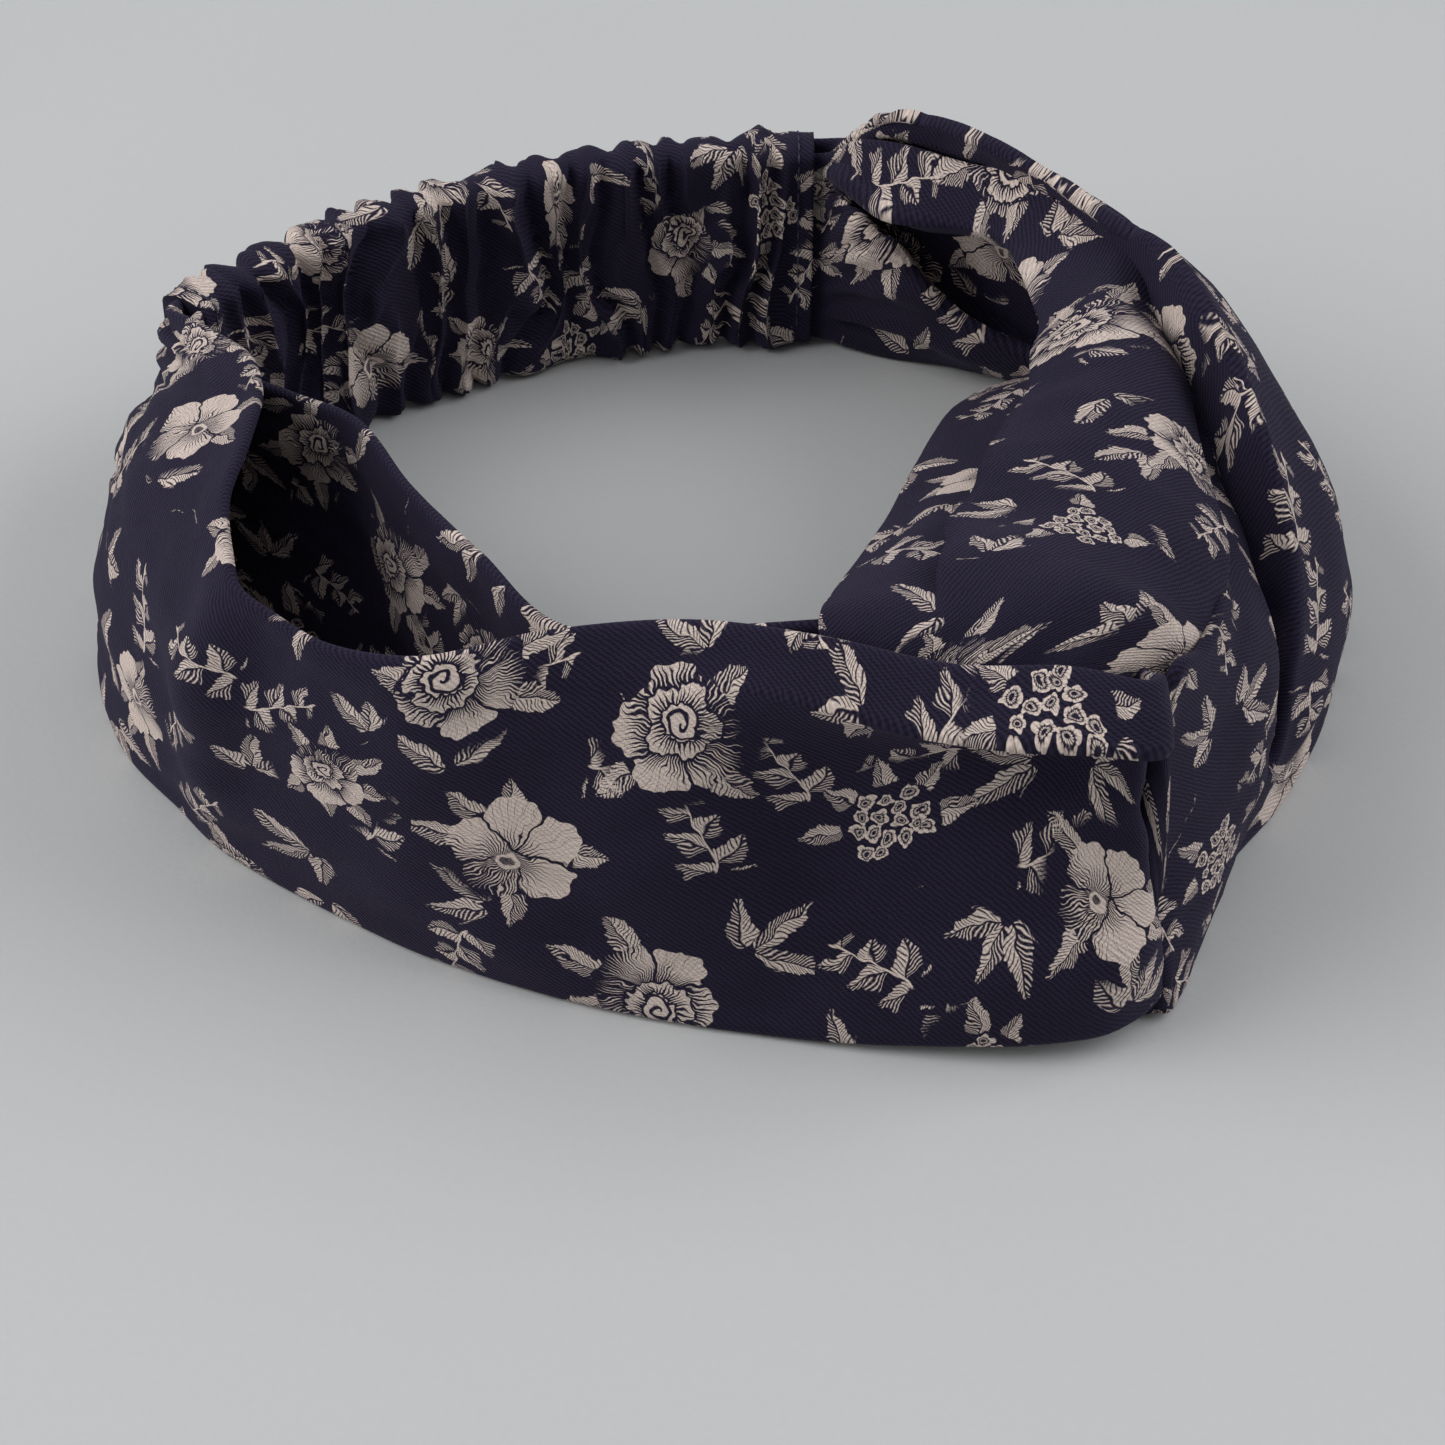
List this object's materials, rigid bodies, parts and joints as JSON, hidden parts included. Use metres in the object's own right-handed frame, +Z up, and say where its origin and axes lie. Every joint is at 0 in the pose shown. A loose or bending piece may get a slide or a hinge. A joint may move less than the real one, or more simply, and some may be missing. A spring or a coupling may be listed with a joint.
{
  "type": "knotted headband",
  "caption": "Printed cotton headband: two flattened cloth loops hooked through each other in a knot, joined at the back by a ruched casing over a flat elastic.",
  "frame": {"origin": "on the table, under the centre of the overall box, with the headband standing on its edge", "axes": "+Z up across the band's width, +Y towards the elastic at the back, +X towards the knot's side (right)"},
  "size_m": [0.1854, 0.1812, 0.059],
  "materials": {
    "printed_cotton": "navy cotton twill with a cream engraved floral print",
    "casing_cotton": "the same printed twill, gathered into ruches",
    "elastic_webbing": "matt woven elastic webbing",
    "thread": "navy polyester sewing thread"
  },
  "bodies": {
    "left_loop": {"left_band": "printed_cotton", "left_band_seam": "thread", "left_join_stitching": "thread", "left_elastic_anchor": "thread", "elastic_casing": "casing_cotton", "elastic_strip": "elastic_webbing", "casing_seam": "thread"},
    "right_loop": {"right_band": "printed_cotton", "right_band_seam": "thread", "right_join_stitching": "thread", "right_elastic_anchor": "thread"}
  },
  "joints": [
    {"name": "knot_pivot", "type": "hinge", "parent": "left_loop", "child": "right_loop", "pos_m": [0.03513, -0.07146, 0.03], "axis": [0, 0, -1], "range_deg": [-8, 20], "deforming": ["elastic_casing", "elastic_strip", "casing_seam"]}
  ]
}
